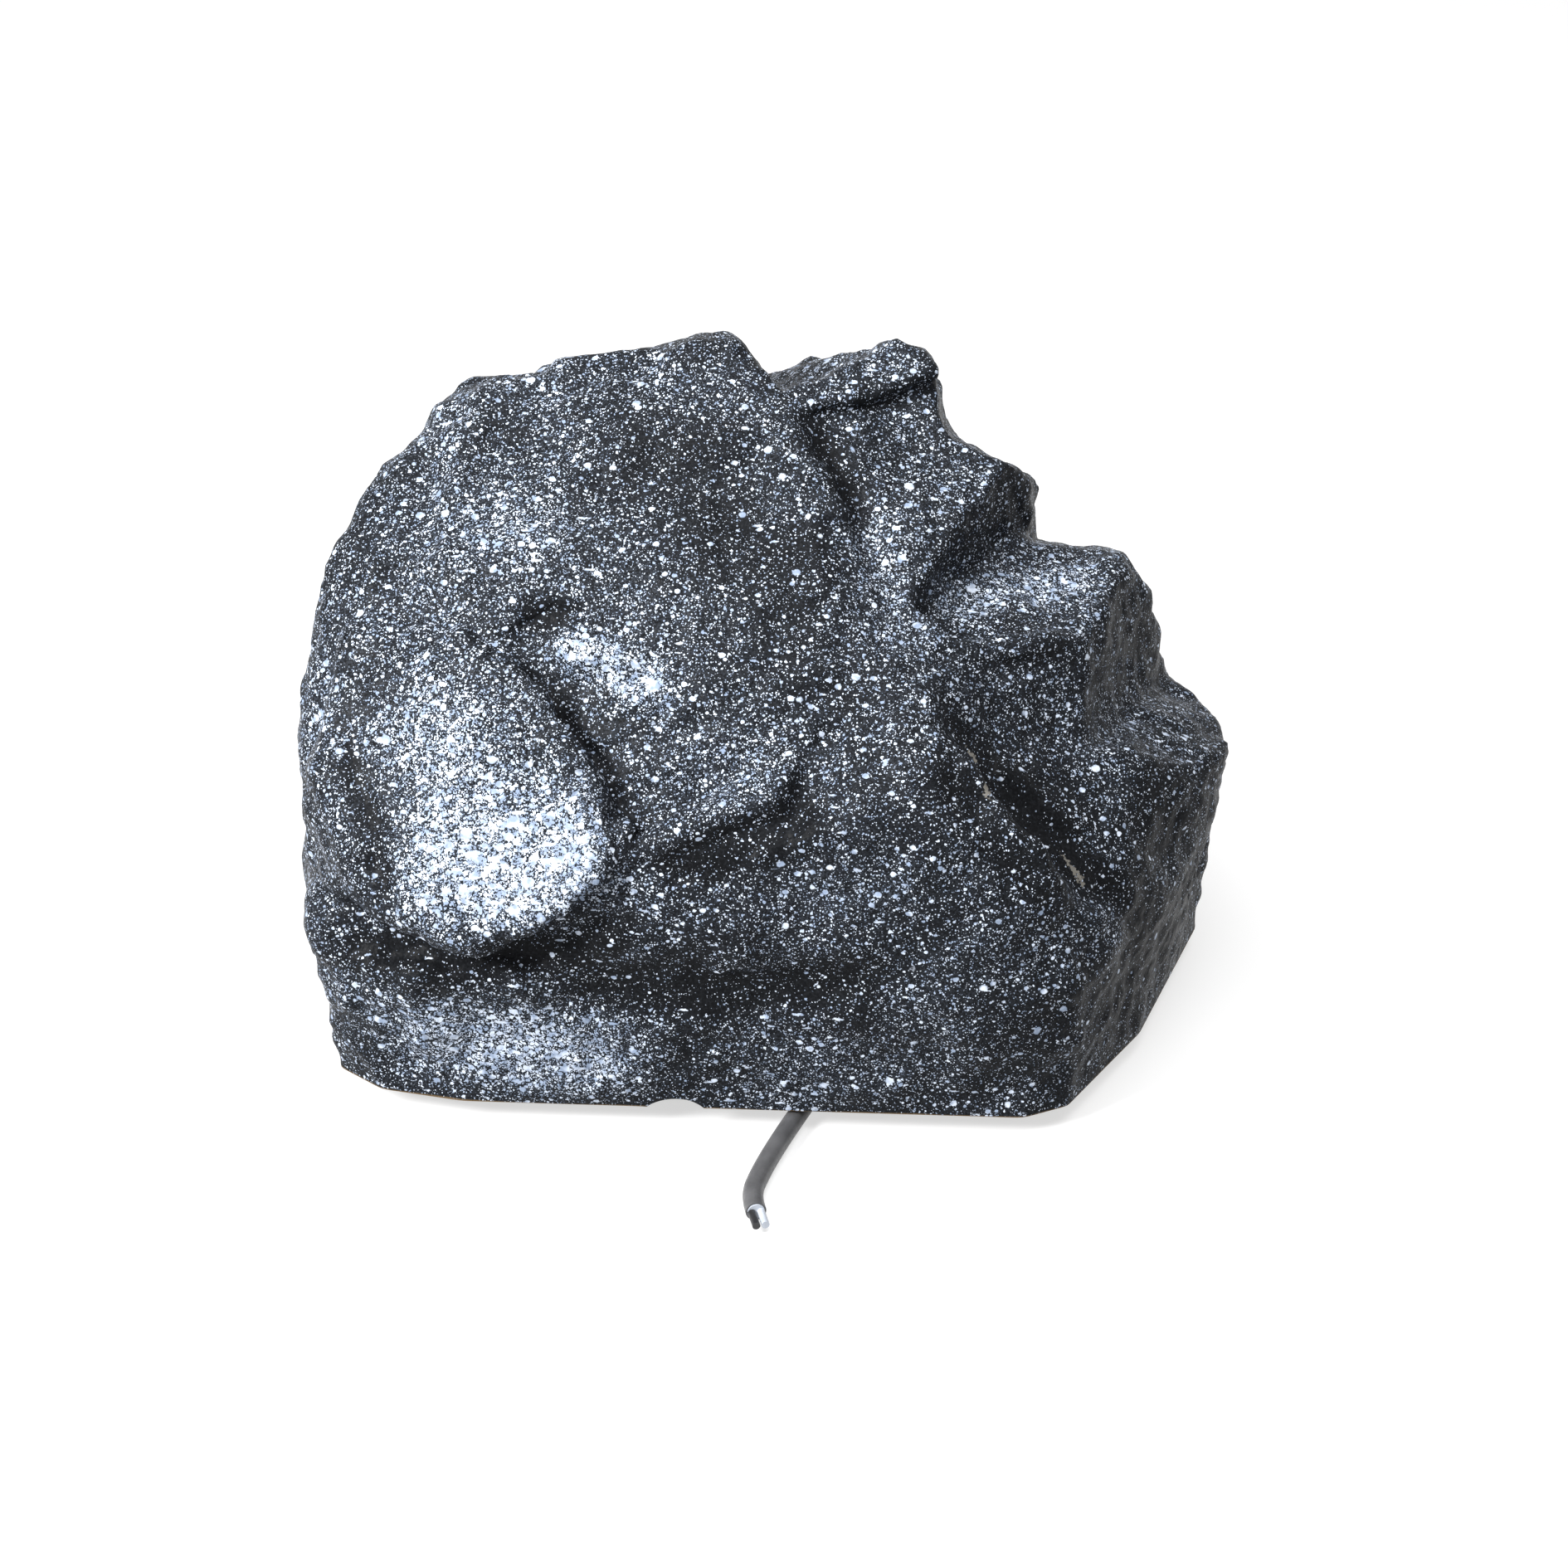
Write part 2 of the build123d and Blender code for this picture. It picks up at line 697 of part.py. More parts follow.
# Solder tags on the back of the frame's spider shelf
tag_spot = (0, -(spider_shelf_radius + frame_sheet + tag_gap + tag_depth / 2))
with BuildPart() as tag_strip:
    with BuildSketch(front.offset(shelf_face - frame_sheet)):
        with Locations(tag_spot):
            Rectangle(tag_length, tag_depth)
    extrude(amount=-tag_thickness)
save(tag_strip, "tag_strip")

with BuildPart() as solder_tags:
    with BuildSketch(front.offset(shelf_face - frame_sheet - tag_thickness)):
        with Locations(tag_spot):
            with GridLocations(tag_length / 2, 0, 2, 1):
                Rectangle(tag_width, tag_sheet)
    extrude(amount=-tag_height)
save(solder_tags, "solder_tags")

# Grommet in the base board
grommet_bottom = foot_height - grommet_flange_thickness
grommet_height = board_thickness + 2 * grommet_flange_thickness
with BuildPart() as cable_grommet:
    with BuildSketch(Plane.XY.offset(grommet_bottom)):
        with Locations(grommet_place):
            Circle(grommet_flange)
    extrude(amount=grommet_flange_thickness)
    with BuildSketch(Plane.XY.offset(board_top)):
        with Locations(grommet_place):
            Circle(grommet_flange)
    extrude(amount=grommet_flange_thickness)
    with BuildSketch(Plane.XY.offset(grommet_bottom)):
        with Locations(grommet_place):
            Circle(grommet_neck)
    extrude(amount=grommet_height)
    with BuildSketch(Plane.XY.offset(grommet_bottom)):
        with Locations(grommet_place):
            Circle(cable_radius + slip)
    extrude(amount=grommet_height, mode=Mode.SUBTRACT)
save(cable_grommet, "cable_grommet")


def bend_radii(points):
    """The largest tangent radius that each corner of a route leaves room for."""
    radii = []
    for before, corner, after in zip(points, points[1:], points[2:]):
        run_in = Vector(*corner) - Vector(*before)
        run_out = Vector(*after) - Vector(*corner)
        turn = run_in.get_angle(run_out)
        radii.append(bend_share * min(run_in.length, run_out.length) / tan(radians(turn / 2)))
    return radii


def round_lead(points, radius):
    """A round lead along straight runs joined by tangent arcs."""
    with BuildPart() as lead:
        with BuildLine() as route:
            FilletPolyline(*points, radius=bend_radii(points))
        with BuildSketch(Plane(origin=points[0], z_dir=route.line % 0)):
            Circle(radius)
        sweep(path=route.line)
    return lead, route.wire()


# Cable: down out of the grommet, then along the floor to its stripped end
exit_point = (*grommet_place, foot_height)
drop_point = (*grommet_place, foot_height - exit_drop)
cable_points = [exit_point, drop_point] + [(x, y, cable_floor) for x, y in cable_route]
speaker_cable, cable_line = round_lead(cable_points, cable_radius)
save(speaker_cable, "speaker_cable")

core_plane = Plane(origin=cable_line @ 1, x_dir=(cable_line % 1).cross(Vector(0, 0, 1)), z_dir=cable_line % 1)
for name, side in (("cable_core_black", 1), ("cable_core_white", -1)):
    with BuildPart() as core:
        with BuildSketch(core_plane):
            with Locations((side * core_spread, 0)):
                Circle(core_radius)
        extrude(amount=core_length)
    save(core, name)

# Lead from the grommet to the terminal block
lead_level = parts_plane.origin.Z + terminal_height / 2
terminal_face = parts_plane.from_local_coords((crossover_length / 2, terminal_spot[1], terminal_height / 2))
lead_points = [
    exit_point,
    (*grommet_place, lead_level - lead_dip),
    (terminal_face.X + lead_run, terminal_face.Y, lead_level),
    tuple(terminal_face),
]
inner_lead = round_lead(lead_points, cable_radius)[0]
save(inner_lead, "inner_lead")
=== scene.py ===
"""Looks of the garden loudspeaker in a moulded boulder: worn stone, speckled paint, cable and studio."""

import json
from math import cos, pi, radians, sin

import bmesh
import bpy
import numpy as np
from mathutils import Euler, Matrix, Vector, noise
from mathutils.bvhtree import BVHTree


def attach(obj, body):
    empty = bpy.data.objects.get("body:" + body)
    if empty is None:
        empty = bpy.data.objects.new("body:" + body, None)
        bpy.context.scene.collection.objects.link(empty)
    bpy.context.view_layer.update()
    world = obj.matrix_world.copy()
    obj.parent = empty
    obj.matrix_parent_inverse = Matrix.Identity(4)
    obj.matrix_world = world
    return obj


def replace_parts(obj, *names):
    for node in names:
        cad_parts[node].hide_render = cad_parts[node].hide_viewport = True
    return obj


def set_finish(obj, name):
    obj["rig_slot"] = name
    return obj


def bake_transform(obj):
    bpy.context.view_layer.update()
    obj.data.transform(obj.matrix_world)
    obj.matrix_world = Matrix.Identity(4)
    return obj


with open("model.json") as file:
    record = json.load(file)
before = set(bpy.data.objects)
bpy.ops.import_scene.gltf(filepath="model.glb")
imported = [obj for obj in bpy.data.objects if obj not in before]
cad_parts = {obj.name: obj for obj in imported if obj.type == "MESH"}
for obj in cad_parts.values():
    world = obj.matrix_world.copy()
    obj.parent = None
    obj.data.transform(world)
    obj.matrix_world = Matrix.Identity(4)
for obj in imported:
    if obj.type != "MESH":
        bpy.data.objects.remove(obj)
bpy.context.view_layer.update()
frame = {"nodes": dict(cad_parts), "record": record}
nodes = frame["nodes"]
slots = {part["node"]: part["material_slot"] for part in frame["record"]["subparts"]}
scene = bpy.context.scene
scene.view_settings.view_transform = "Standard"

MM = 0.001  # sizes and places are in millimetres, unless a comment gives another unit

# Camera, at the photograph's viewing angle
IMAGE_SIDE = 1890  # pixels
CAMERA_PLACE = Vector((0.003, -1.29904, 0.823))  # m
CAMERA_PITCH = radians(60)
LENS = 100
SENSOR = 36

camera = bpy.data.objects.new("camera", bpy.data.cameras.new("camera"))
camera.location = CAMERA_PLACE
camera.rotation_euler = Euler((CAMERA_PITCH, 0, 0))
camera.data.lens = LENS
camera.data.sensor_width = SENSOR
scene.collection.objects.link(camera)
scene.camera = camera

# Cable, from the grommet in the base board to its bare end
CABLE_EXIT = (25, -52, 21)
CABLE_DIAMETER = 6.8
CABLE_FLOOR = 3.5  # height of its middle where it lies on the floor
CABLE_ROUTE = [
    CABLE_EXIT,
    (25, -52, 11),
    (22.5, -59, CABLE_FLOOR),
    (17, -76, CABLE_FLOOR),
    (8.5, -97, CABLE_FLOOR),
    (0.5, -117.5, CABLE_FLOOR),
    (-5, -134, CABLE_FLOOR),
    (-7.8, -146, CABLE_FLOOR),
    (-6, -154.5, CABLE_FLOOR),
]
CABLE_ROUNDNESS = 8  # bevel resolution of the curve
CABLE_STEPS = 24  # steps from one point of the route to the next
CABLE_ORDER = 3
FILLER_RADIUS = 2.8  # pale filler around the cores, seen at the cut end
FILLER_DEPTH = 0.8
FILLER_SIDES = 32

# Stone
RIM_HEIGHT = 8  # over the floor
NOTCH_PLACE = -33  # a small notch in the rim's near side
NOTCH_WIDTH = 19
NOTCH_RISE = 4
NOTCH_FRONT = -85  # the notch lies in front of this
NOTCH_DEPTH = 70  # of the tool that cuts it
NOTCH_SIDES = 64
MOUTH_CENTRE = Vector((-36, 95.35, 113.76))  # the driver's mouth, on the far side
MOUTH_NORMAL = Vector((0, 0.98481, 0.17365))  # ten degrees above level
MOUTH_RADIUS = 66
MOUTH_DEPTH = 16
ROOT_DEPTH = 12  # stone carried on below the rim until it is cut
SAME_PLACE = 0.01  # corners nearer than this are one
VOXEL = 1.8
ROUNDING_PASSES = 2
ROUNDING_PULL = 0.5
LEAST_WALL = 1.6
RIM_CALM = 10  # the relief dies out towards the rim and the mouth
MOUTH_CALM = 8
MOUTH_STILL = 4  # and there is none this near to the mouth
STONE_CREASE = 55  # degrees from which an edge is shaded sharp

# Soft rings between the driver's frame and its cone: radius where each holds still, radius where it moves
RING_SECTORS = 24
RING_START = 0.3  # of a sector, so that no cut meets a seam of the solids
RING_SAME_PLACE = 0.001
RING_CREASE = 35  # degrees
SOFT_RINGS = {"driver_surround": (50, 43), "driver_spider": (34, 14)}

# Relief by noise: size of its forms, height
RELIEF = [(40, 2.0), (19, 1.6), (9, 1.35), (5, 0.75)]
RELIEF_START = Vector((3.1, 7.7, 1.3))
WARP_SIZE = 34  # forms drawn aside by noise, so that no edge runs straight
WARP = 3.5
WARP_STARTS = [Vector((9.2, 1.4, 5.8)), Vector((4.6, 8.3, 0.9)), Vector((2.7, 3.9, 7.1))]

# Relief by strokes: a line in the photograph's pixels, then the half width and the height
STROKE_ENDS = 0.3  # share of a stroke in which it fades out
STROKE_FRAY = 2.5  # by which its sides waver
STROKE_FRAY_SIZE = 9
STROKE_FRAY_START = Vector((9.2, 1.4, 5.8))
STROKES = {
    "groove under bulge": ([(400, 1135), (470, 1140), (560, 1158), (690, 1130), (770, 1080)], 10, -3.5),
    "left waist": ([(382, 1060), (392, 1125), (398, 1170), (406, 1215)], 18, 5),
    "band groove": ([(640, 1165), (760, 1190), (870, 1205), (960, 1195), (1080, 1160)], 13, -2.8),
    "pit": ([(620, 745), (662, 736), (712, 745)], 8, -3.5),
    "boss under pit": ([(675, 770), (730, 790), (800, 850)], 12, 2.5),
    "boss crack": ([(700, 810), (760, 820), (810, 800)], 6, -2.5),
    "brow": ([(520, 690), (600, 655), (690, 670)], 16, 2.5),
    "left ridge": ([(640, 445), (550, 525), (545, 640), (495, 720)], 12, 2.8),
    "left ridge foot": ([(520, 540), (510, 640), (470, 720)], 12, -2.2),
    "bulge rim": ([(470, 1100), (560, 1128), (690, 1078), (745, 1025)], 9, 2),
    "bulge corner": ([(620, 850), (700, 930), (748, 1000)], 9, 2),
    "bulge point": ([(700, 1062), (744, 1026), (772, 996)], 9, 5),
    "middle ridge": ([(765, 1030), (850, 998), (930, 966), (966, 920)], 9, 3.6),
    "under ridge": ([(780, 1062), (860, 1030), (940, 1000), (992, 955)], 9, -3.5),
    "fold": ([(1000, 865), (982, 920), (950, 985)], 7, -4.5),
    "belly hollow": ([(800, 1060), (900, 1050), (1000, 1075), (1100, 1060)], 22, -2.5),
    "belly swell": ([(840, 1130), (960, 1140), (1100, 1130)], 20, 2),
    "broken ridge": ([(1112, 880), (1160, 935), (1195, 1005), (1255, 1055), (1300, 1085)], 8, 4.2),
    "broken ridge hollow": ([(1115, 845), (1178, 915), (1235, 985), (1305, 1050), (1350, 1110)], 11, -7),
    "ridge slope": ([(1070, 830), (1140, 940), (1200, 1040), (1280, 1120)], 32, 5.5),
    "valley floor": ([(1010, 620), (1060, 720), (1100, 780)], 15, -2.5),
    "valley wall": ([(985, 490), (1012, 560), (1042, 630), (1078, 710)], 8, -4),
    "face hollow": ([(760, 570), (830, 590), (930, 640)], 22, -2.2),
    "face swell": ([(830, 720), (920, 780), (960, 850)], 24, 2),
    "crest break": ([(650, 470), (760, 465), (890, 480)], 9, -2),
    "crest saddle": ([(612, 452), (640, 445), (668, 441)], 8, -2.5),
    "crest dip": ([(680, 446), (740, 442), (775, 439), (802, 436)], 9, -4),
    "crest top": ([(790, 434), (850, 421), (890, 424)], 8, 2),
    "rear bump": ([(556, 478), (582, 462), (608, 455)], 8, 2),
    "rear bump foot": ([(520, 512), (545, 500), (572, 500)], 6, -2.2),
    "channel fill": ([(600, 770), (645, 830), (690, 890), (725, 955), (748, 1020)], 7, 2.6),
    "bulge left groove": ([(405, 850), (434, 950), (458, 1040), (474, 1095)], 7, -2.8),
    "step edge": ([(1115, 772), (1200, 780), (1310, 768)], 6, 2.4),
    "step foot": ([(1115, 800), (1200, 812), (1310, 800)], 8, -2.5),
    "right hollow": ([(1340, 960), (1400, 1000), (1420, 1060)], 18, -2.5),
}

# Painted light and shade, as the share of the stone that the white specks cover: the direction the light
# comes from, the cover on faces turned away from the light and towards it, and strokes of painted light and
# shade with a line in the photograph's pixels, a half width, and what they add
PAINTED_LIGHT_FROM = (-0.58, -0.42, 0.70)
COVER_AWAY_FROM_LIGHT = 0.26
COVER_TOWARDS_LIGHT = 0.75
LEAST_COVER = 0.15
LIGHT_AND_SHADE_STROKES = {
    "groove under bulge": ([(380, 1140), (470, 1150), (560, 1165), (690, 1145), (790, 1110)], 10, -0.6),
    "band groove": ([(640, 1170), (740, 1195), (870, 1207), (960, 1200), (1060, 1170)], 13, -0.45),
    "pit": ([(630, 742), (662, 738), (705, 745)], 8, -0.7),
    "valley wall": ([(985, 500), (1010, 560), (1045, 640)], 9, -0.35),
    "mid slope": ([(760, 960), (850, 940), (940, 900)], 20, 0.1),
    "bulge side": ([(600, 790), (670, 850), (725, 920), (765, 1020)], 9, -0.2),
    "bulge left groove": ([(408, 850), (436, 950), (460, 1040), (474, 1095)], 6, -0.5),
    "under ridge": ([(775, 1066), (860, 1036), (940, 1006), (1000, 966)], 13, -0.45),
    "broken ridge shade": ([(1125, 845), (1190, 915), (1250, 985), (1330, 1060), (1380, 1130)], 11, -0.5),
    "ridge slope": ([(1050, 850), (1100, 930), (1150, 1015), (1220, 1090)], 10, 0.2),
    "ridge face": ([(1095, 880), (1150, 955), (1210, 1030), (1280, 1095)], 17, -0.3),
    "upper face": ([(680, 520), (820, 580), (920, 680), (980, 800)], 34, -0.22),
    "step front": ([(1120, 830), (1200, 830), (1300, 830)], 16, 0.1),
    "right facet": ([(1210, 920), (1330, 1000), (1430, 1000)], 32, -0.12),
    "right side": ([(1320, 1230), (1370, 1170), (1410, 1110), (1445, 1030)], 28, -0.4),
    "bulge": ([(450, 830), (540, 930), (640, 1020), (715, 1060)], 32, 0.6),
    "bulge edge": ([(470, 1050), (560, 1065), (680, 1035), (730, 1000)], 22, 0.95),
    "boss under pit": ([(660, 770), (730, 795), (820, 860)], 12, 0.7),
    "upper left": ([(470, 720), (560, 665), (640, 650), (730, 630)], 28, 0.2),
    "left band": ([(366, 1215), (440, 1245), (560, 1262), (680, 1270), (800, 1275)], 26, 0.65),
    "front band": ([(560, 1268), (760, 1278), (980, 1285), (1220, 1282)], 20, 0.05),
    "left edge": ([(375, 690), (363, 800), (362, 950), (368, 1080)], 17, -0.8),
    "lower step": ([(1120, 720), (1220, 710), (1340, 690)], 15, 0.5),
    "valley floor": ([(1040, 600), (1070, 720), (1100, 800)], 16, 0.2),
}

# Paint worn through along sharp edges: a half width, and lines in the photograph's pixels
WORN_REACH = 2.6
WORN_LINES = [
    [(1158, 890), (1174, 915), (1190, 950), (1204, 985)],
    [(1264, 1014), (1284, 1034), (1300, 1056), (1312, 1080)],
]


def mm(points):
    """Points in millimetres as vectors in metres."""
    return [MM * Vector(point) for point in points]


def add_object(name, data, slot):
    """A new piece with its slot."""
    made = bpy.data.objects.new(name, data)
    scene.collection.objects.link(made)
    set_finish(made, slot)
    return made


def cylinder(radius, depth, sides):
    """A closed cylinder along Z about the origin."""
    form = bmesh.new()
    bmesh.ops.create_cone(
        form, cap_ends=True, segments=sides, radius1=MM * radius, radius2=MM * radius, depth=MM * depth
    )
    return form


def make_filler():
    """The pale filler that shows at the cable's cut end."""
    before, end = (Vector(point) for point in CABLE_ROUTE[-2:])
    form = cylinder(FILLER_RADIUS, FILLER_DEPTH, FILLER_SIDES)
    turn = (end - before).to_track_quat("Z", "Y").to_matrix().to_4x4()
    bmesh.ops.transform(form, matrix=Matrix.Translation(MM * end) @ turn, verts=form.verts)
    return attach(add_object("cable_filler", as_mesh(form, "cable_filler"), "white_vinyl"), "enclosure")


def make_cable():
    """The cable's sheath on its route."""
    curve = bpy.data.curves.new("cable_sheath", "CURVE")
    curve.dimensions = "3D"
    curve.bevel_depth = 1  # times the points' radius
    curve.bevel_resolution = CABLE_ROUNDNESS
    curve.resolution_u = CABLE_STEPS
    curve.use_fill_caps = True
    spline = curve.splines.new("NURBS")
    spline.points.add(len(CABLE_ROUTE) - 1)
    for point, place in zip(spline.points, mm(CABLE_ROUTE)):
        point.co = (*place, 1)
        point.radius = MM * CABLE_DIAMETER / 2
    spline.order_u = CABLE_ORDER
    spline.use_endpoint_u = True
    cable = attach(add_object("cable_sheath", curve, "grey_vinyl"), "enclosure")
    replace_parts(cable, "speaker_cable")
    return cable


def in_notch(place):
    """Whether a vertex of the shell lies on the notch in its rim."""
    margin = 0.1
    beside = abs(place.x / MM - NOTCH_PLACE) < NOTCH_WIDTH / 2 + margin
    return beside and place.y < MM * NOTCH_FRONT and place.z < MM * (RIM_HEIGHT + NOTCH_RISE + margin)


def on_mouth(place):
    """Whether a vertex of the shell lies on the wall of the driver's mouth."""
    margin = 0.2
    offset = place / MM - MOUTH_CENTRE
    across = offset - MOUTH_NORMAL * offset.dot(MOUTH_NORMAL)
    return abs(across.length - MOUTH_RADIUS) < margin


def on_rim(place):
    """Whether a vertex of the shell lies on its rim."""
    margin = 0.05
    return abs(place.z / MM - RIM_HEIGHT) < margin


def stone_skins():
    """The shell's outer and inner skins, parted at the rim, the notch and the mouth."""
    shell = bmesh.new()
    shell.from_mesh(nodes["rock_shell"].data)
    bmesh.ops.remove_doubles(shell, verts=shell.verts, dist=MM * SAME_PLACE)
    joins = [
        face
        for face in shell.faces
        if any(all(test(vert.co) for vert in face.verts) for test in (on_rim, in_notch, on_mouth))
    ]
    bmesh.ops.delete(shell, geom=joins, context="FACES")
    for vert in shell.verts:
        if in_notch(vert.co):
            vert.co.z = MM * RIM_HEIGHT
    top = max(shell.verts, key=lambda vert: vert.co.z)
    found = {top}
    front = [top]
    while front:
        reached = front.pop()
        for edge in reached.link_edges:
            other = edge.other_vert(reached)
            if other not in found:
                found.add(other)
                front.append(other)
    shell.verts.index_update()
    outside = {vert.index for vert in found}
    inner = shell.copy()
    bmesh.ops.delete(inner, geom=[vert for vert in inner.verts if vert.index in outside], context="VERTS")
    bmesh.ops.delete(shell, geom=[vert for vert in shell.verts if vert not in found], context="VERTS")
    return shell, inner


def close_skin(skin, root, mouth):
    """Closes a skin, carried on below the rim by root and out of the mouth by mouth."""
    edges = [edge for edge in skin.edges if edge.is_boundary]
    grown = bmesh.ops.extrude_edge_only(skin, edges=edges)["geom"]
    for vert in [item for item in grown if isinstance(item, bmesh.types.BMVert)]:
        low = vert.co.z < MM * 2 * RIM_HEIGHT
        vert.co += Vector((0, 0, -MM * root)) if low else MM * mouth * MOUTH_NORMAL
    bmesh.ops.holes_fill(skin, edges=[edge for edge in skin.edges if edge.is_boundary])
    quad = 4
    bmesh.ops.triangulate(skin, faces=[face for face in skin.faces if len(face.verts) > quad])
    bmesh.ops.recalc_face_normals(skin, faces=skin.faces)
    return skin


def search_tree(skin):
    """A search tree over a skin, whose faces go in by their corners so that each run finds the same."""
    skin.verts.index_update()
    faces = []
    for face in skin.faces:
        corners = [vert.index for vert in face.verts]
        first = corners.index(min(corners))
        faces.append(corners[first:] + corners[:first])
    return BVHTree.FromPolygons([vert.co for vert in skin.verts], sorted(faces))


def as_mesh(form, name):
    """A bmesh as a mesh, and the bmesh freed."""
    mesh = bpy.data.meshes.new(name)
    form.to_mesh(mesh)
    form.free()
    return mesh


def modified(mesh, kind, settings):
    """The mesh after one modifier."""
    carrier = bpy.data.objects.new("carrier", mesh)
    scene.collection.objects.link(carrier)
    modifier = carrier.modifiers.new(kind, kind)
    for name, value in settings.items():
        setattr(modifier, name, value)
    graph = bpy.context.evaluated_depsgraph_get()
    result = bpy.data.meshes.new_from_object(carrier.evaluated_get(graph))
    bpy.data.objects.remove(carrier)
    return result


def cut(mesh, tool):
    """The mesh less a tool's mesh."""
    holder = bpy.data.objects.new("tool", tool)
    scene.collection.objects.link(holder)
    result = modified(mesh, "BOOLEAN", {"operation": "DIFFERENCE", "solver": "EXACT", "object": holder})
    bpy.data.objects.remove(holder)
    return result


def places(mesh):
    """A mesh's vertices in millimetres."""
    flat = np.empty(3 * len(mesh.vertices), np.float32)
    mesh.vertices.foreach_get("co", flat)
    return flat.reshape(-1, 3).astype(float) / MM


def normals(mesh):
    """The normals at a mesh's vertices."""
    flat = np.empty(3 * len(mesh.vertices), np.float32)
    mesh.vertex_normals.foreach_get("vector", flat)
    return flat.reshape(-1, 3).astype(float)


def set_places(mesh, points):
    """Puts a mesh's vertices at points in millimetres."""
    mesh.vertices.foreach_set("co", (points * MM).astype(np.float32).ravel())
    mesh.update()


def rounded(mesh, points, passes):
    """Points drawn towards the middle of their neighbours."""
    flat = np.empty(2 * len(mesh.edges), np.int32)
    mesh.edges.foreach_get("vertices", flat)
    one, two = flat.reshape(-1, 2).T
    count = np.bincount(flat, minlength=len(points))[:, None]
    for _ in range(passes):
        total = np.zeros_like(points)
        np.add.at(total, one, points[two])
        np.add.at(total, two, points[one])
        points = points + ROUNDING_PULL * (total / count - points)
    return points


def photo_line(pixels, stone):
    """The points of the stone, in millimetres, that the camera sees at pixels of the photograph."""
    line = []
    for column, row in pixels:
        across = (column / IMAGE_SIDE - 0.5) * SENSOR / LENS
        up = (0.5 - row / IMAGE_SIDE) * SENSOR / LENS
        ray = camera.rotation_euler.to_matrix() @ Vector((across, up, -1))
        hit = stone.ray_cast(CAMERA_PLACE, ray)[0]
        if hit:
            line.append(np.array(hit) / MM)
    return line


def line_distance(points, line):
    """Each point's distance from a line of straight runs, and its share of the way along."""
    nearest = np.full(len(points), np.inf)
    along = np.zeros(len(points))
    runs = len(line) - 1
    for index, (start, end) in enumerate(zip(line, line[1:])):
        run = end - start
        share = np.clip((points - start) @ run / (run @ run), 0, 1)
        distance = np.linalg.norm(points - start - share[:, None] * run, axis=1)
        along = np.where(distance < nearest, (index + share) / runs, along)
        nearest = np.minimum(nearest, distance)
    return nearest, along


def stroke(points, fray, line, reach):
    """A soft stroke along a line: 1 on it, 0 from reach on, fading out at its ends."""
    distance, along = line_distance(points, line)
    ends = np.clip(np.minimum(along, 1 - along) / STROKE_ENDS, 0, 1)
    across = np.clip(1 - (np.maximum(distance + fray, 0) / reach) ** 2, 0, 1) ** 2
    return across * ends * (2 - ends)


def noise_field(points, size, start):
    """Noise with forms of a size at each point."""
    return np.array([noise.noise(Vector(point) / size + start) for point in points])


def calm(points):
    """How far the relief is let through: not at the rim or at the mouth."""
    over_rim = np.clip((points[:, 2] - RIM_HEIGHT) / RIM_CALM, 0, 1)
    offset = points - np.array(MOUTH_CENTRE)
    along = offset @ np.array(MOUTH_NORMAL)
    across = np.linalg.norm(offset - along[:, None] * np.array(MOUTH_NORMAL), axis=1)
    from_mouth = np.hypot(np.maximum(across - MOUTH_RADIUS, 0), np.minimum(along, 0))
    return over_rim * np.clip((from_mouth - MOUTH_STILL) / MOUTH_CALM, 0, 1)


def give_relief(stone, seen, hollow):
    """Gives the stone its relief, and keeps a least wall over the hollow."""
    points = places(stone)
    out = normals(stone)
    height = sum(rise * noise_field(points, size, RELIEF_START) for size, rise in RELIEF)
    fray = STROKE_FRAY * noise_field(points, STROKE_FRAY_SIZE, STROKE_FRAY_START)
    for pixels, reach, rise in STROKES.values():
        height += rise * stroke(points, fray, photo_line(pixels, seen), reach)
    warp = np.stack([noise_field(points, WARP_SIZE, start) for start in WARP_STARTS], axis=1)
    shown = calm(points)
    points += shown[:, None] * (height[:, None] * out + WARP * warp)
    for index in np.flatnonzero(shown > 0):
        point = Vector(points[index])
        near, normal, _, _ = hollow.find_nearest(point * MM)
        lack = LEAST_WALL - (point - near / MM).dot(normal)
        if lack > 0:
            points[index] += lack * np.array(normal)
    set_places(stone, points)


def trimmed(stone):
    """The stone cut off flat at its rim."""
    form = bmesh.new()
    form.from_mesh(stone)
    bmesh.ops.bisect_plane(
        form,
        geom=form.verts[:] + form.edges[:] + form.faces[:],
        plane_co=(0, 0, MM * RIM_HEIGHT),
        plane_no=(0, 0, 1),
        clear_inner=True,
    )
    bmesh.ops.holes_fill(form, edges=[edge for edge in form.edges if edge.is_boundary])
    return as_mesh(form, "stone")


def notch_tool():
    """The cylinder that cuts the notch out of the rim."""
    radius = (NOTCH_WIDTH**2 / 4 + NOTCH_RISE**2) / (2 * NOTCH_RISE)
    notch = cylinder(radius, NOTCH_DEPTH, NOTCH_SIDES)
    bmesh.ops.rotate(notch, verts=notch.verts, matrix=Euler((radians(90), 0, 0)).to_matrix())
    middle = (NOTCH_PLACE, NOTCH_FRONT - NOTCH_DEPTH / 2, RIM_HEIGHT + NOTCH_RISE - radius)
    bmesh.ops.translate(notch, verts=notch.verts, vec=MM * Vector(middle))
    return as_mesh(notch, "notch")


def smooth(mesh, crease):
    """Shades a mesh smoothly, apart from edges that turn by more than a crease in degrees."""
    mesh.polygons.foreach_set("use_smooth", [True] * len(mesh.polygons))
    mesh.set_sharp_from_angle(angle=radians(crease))


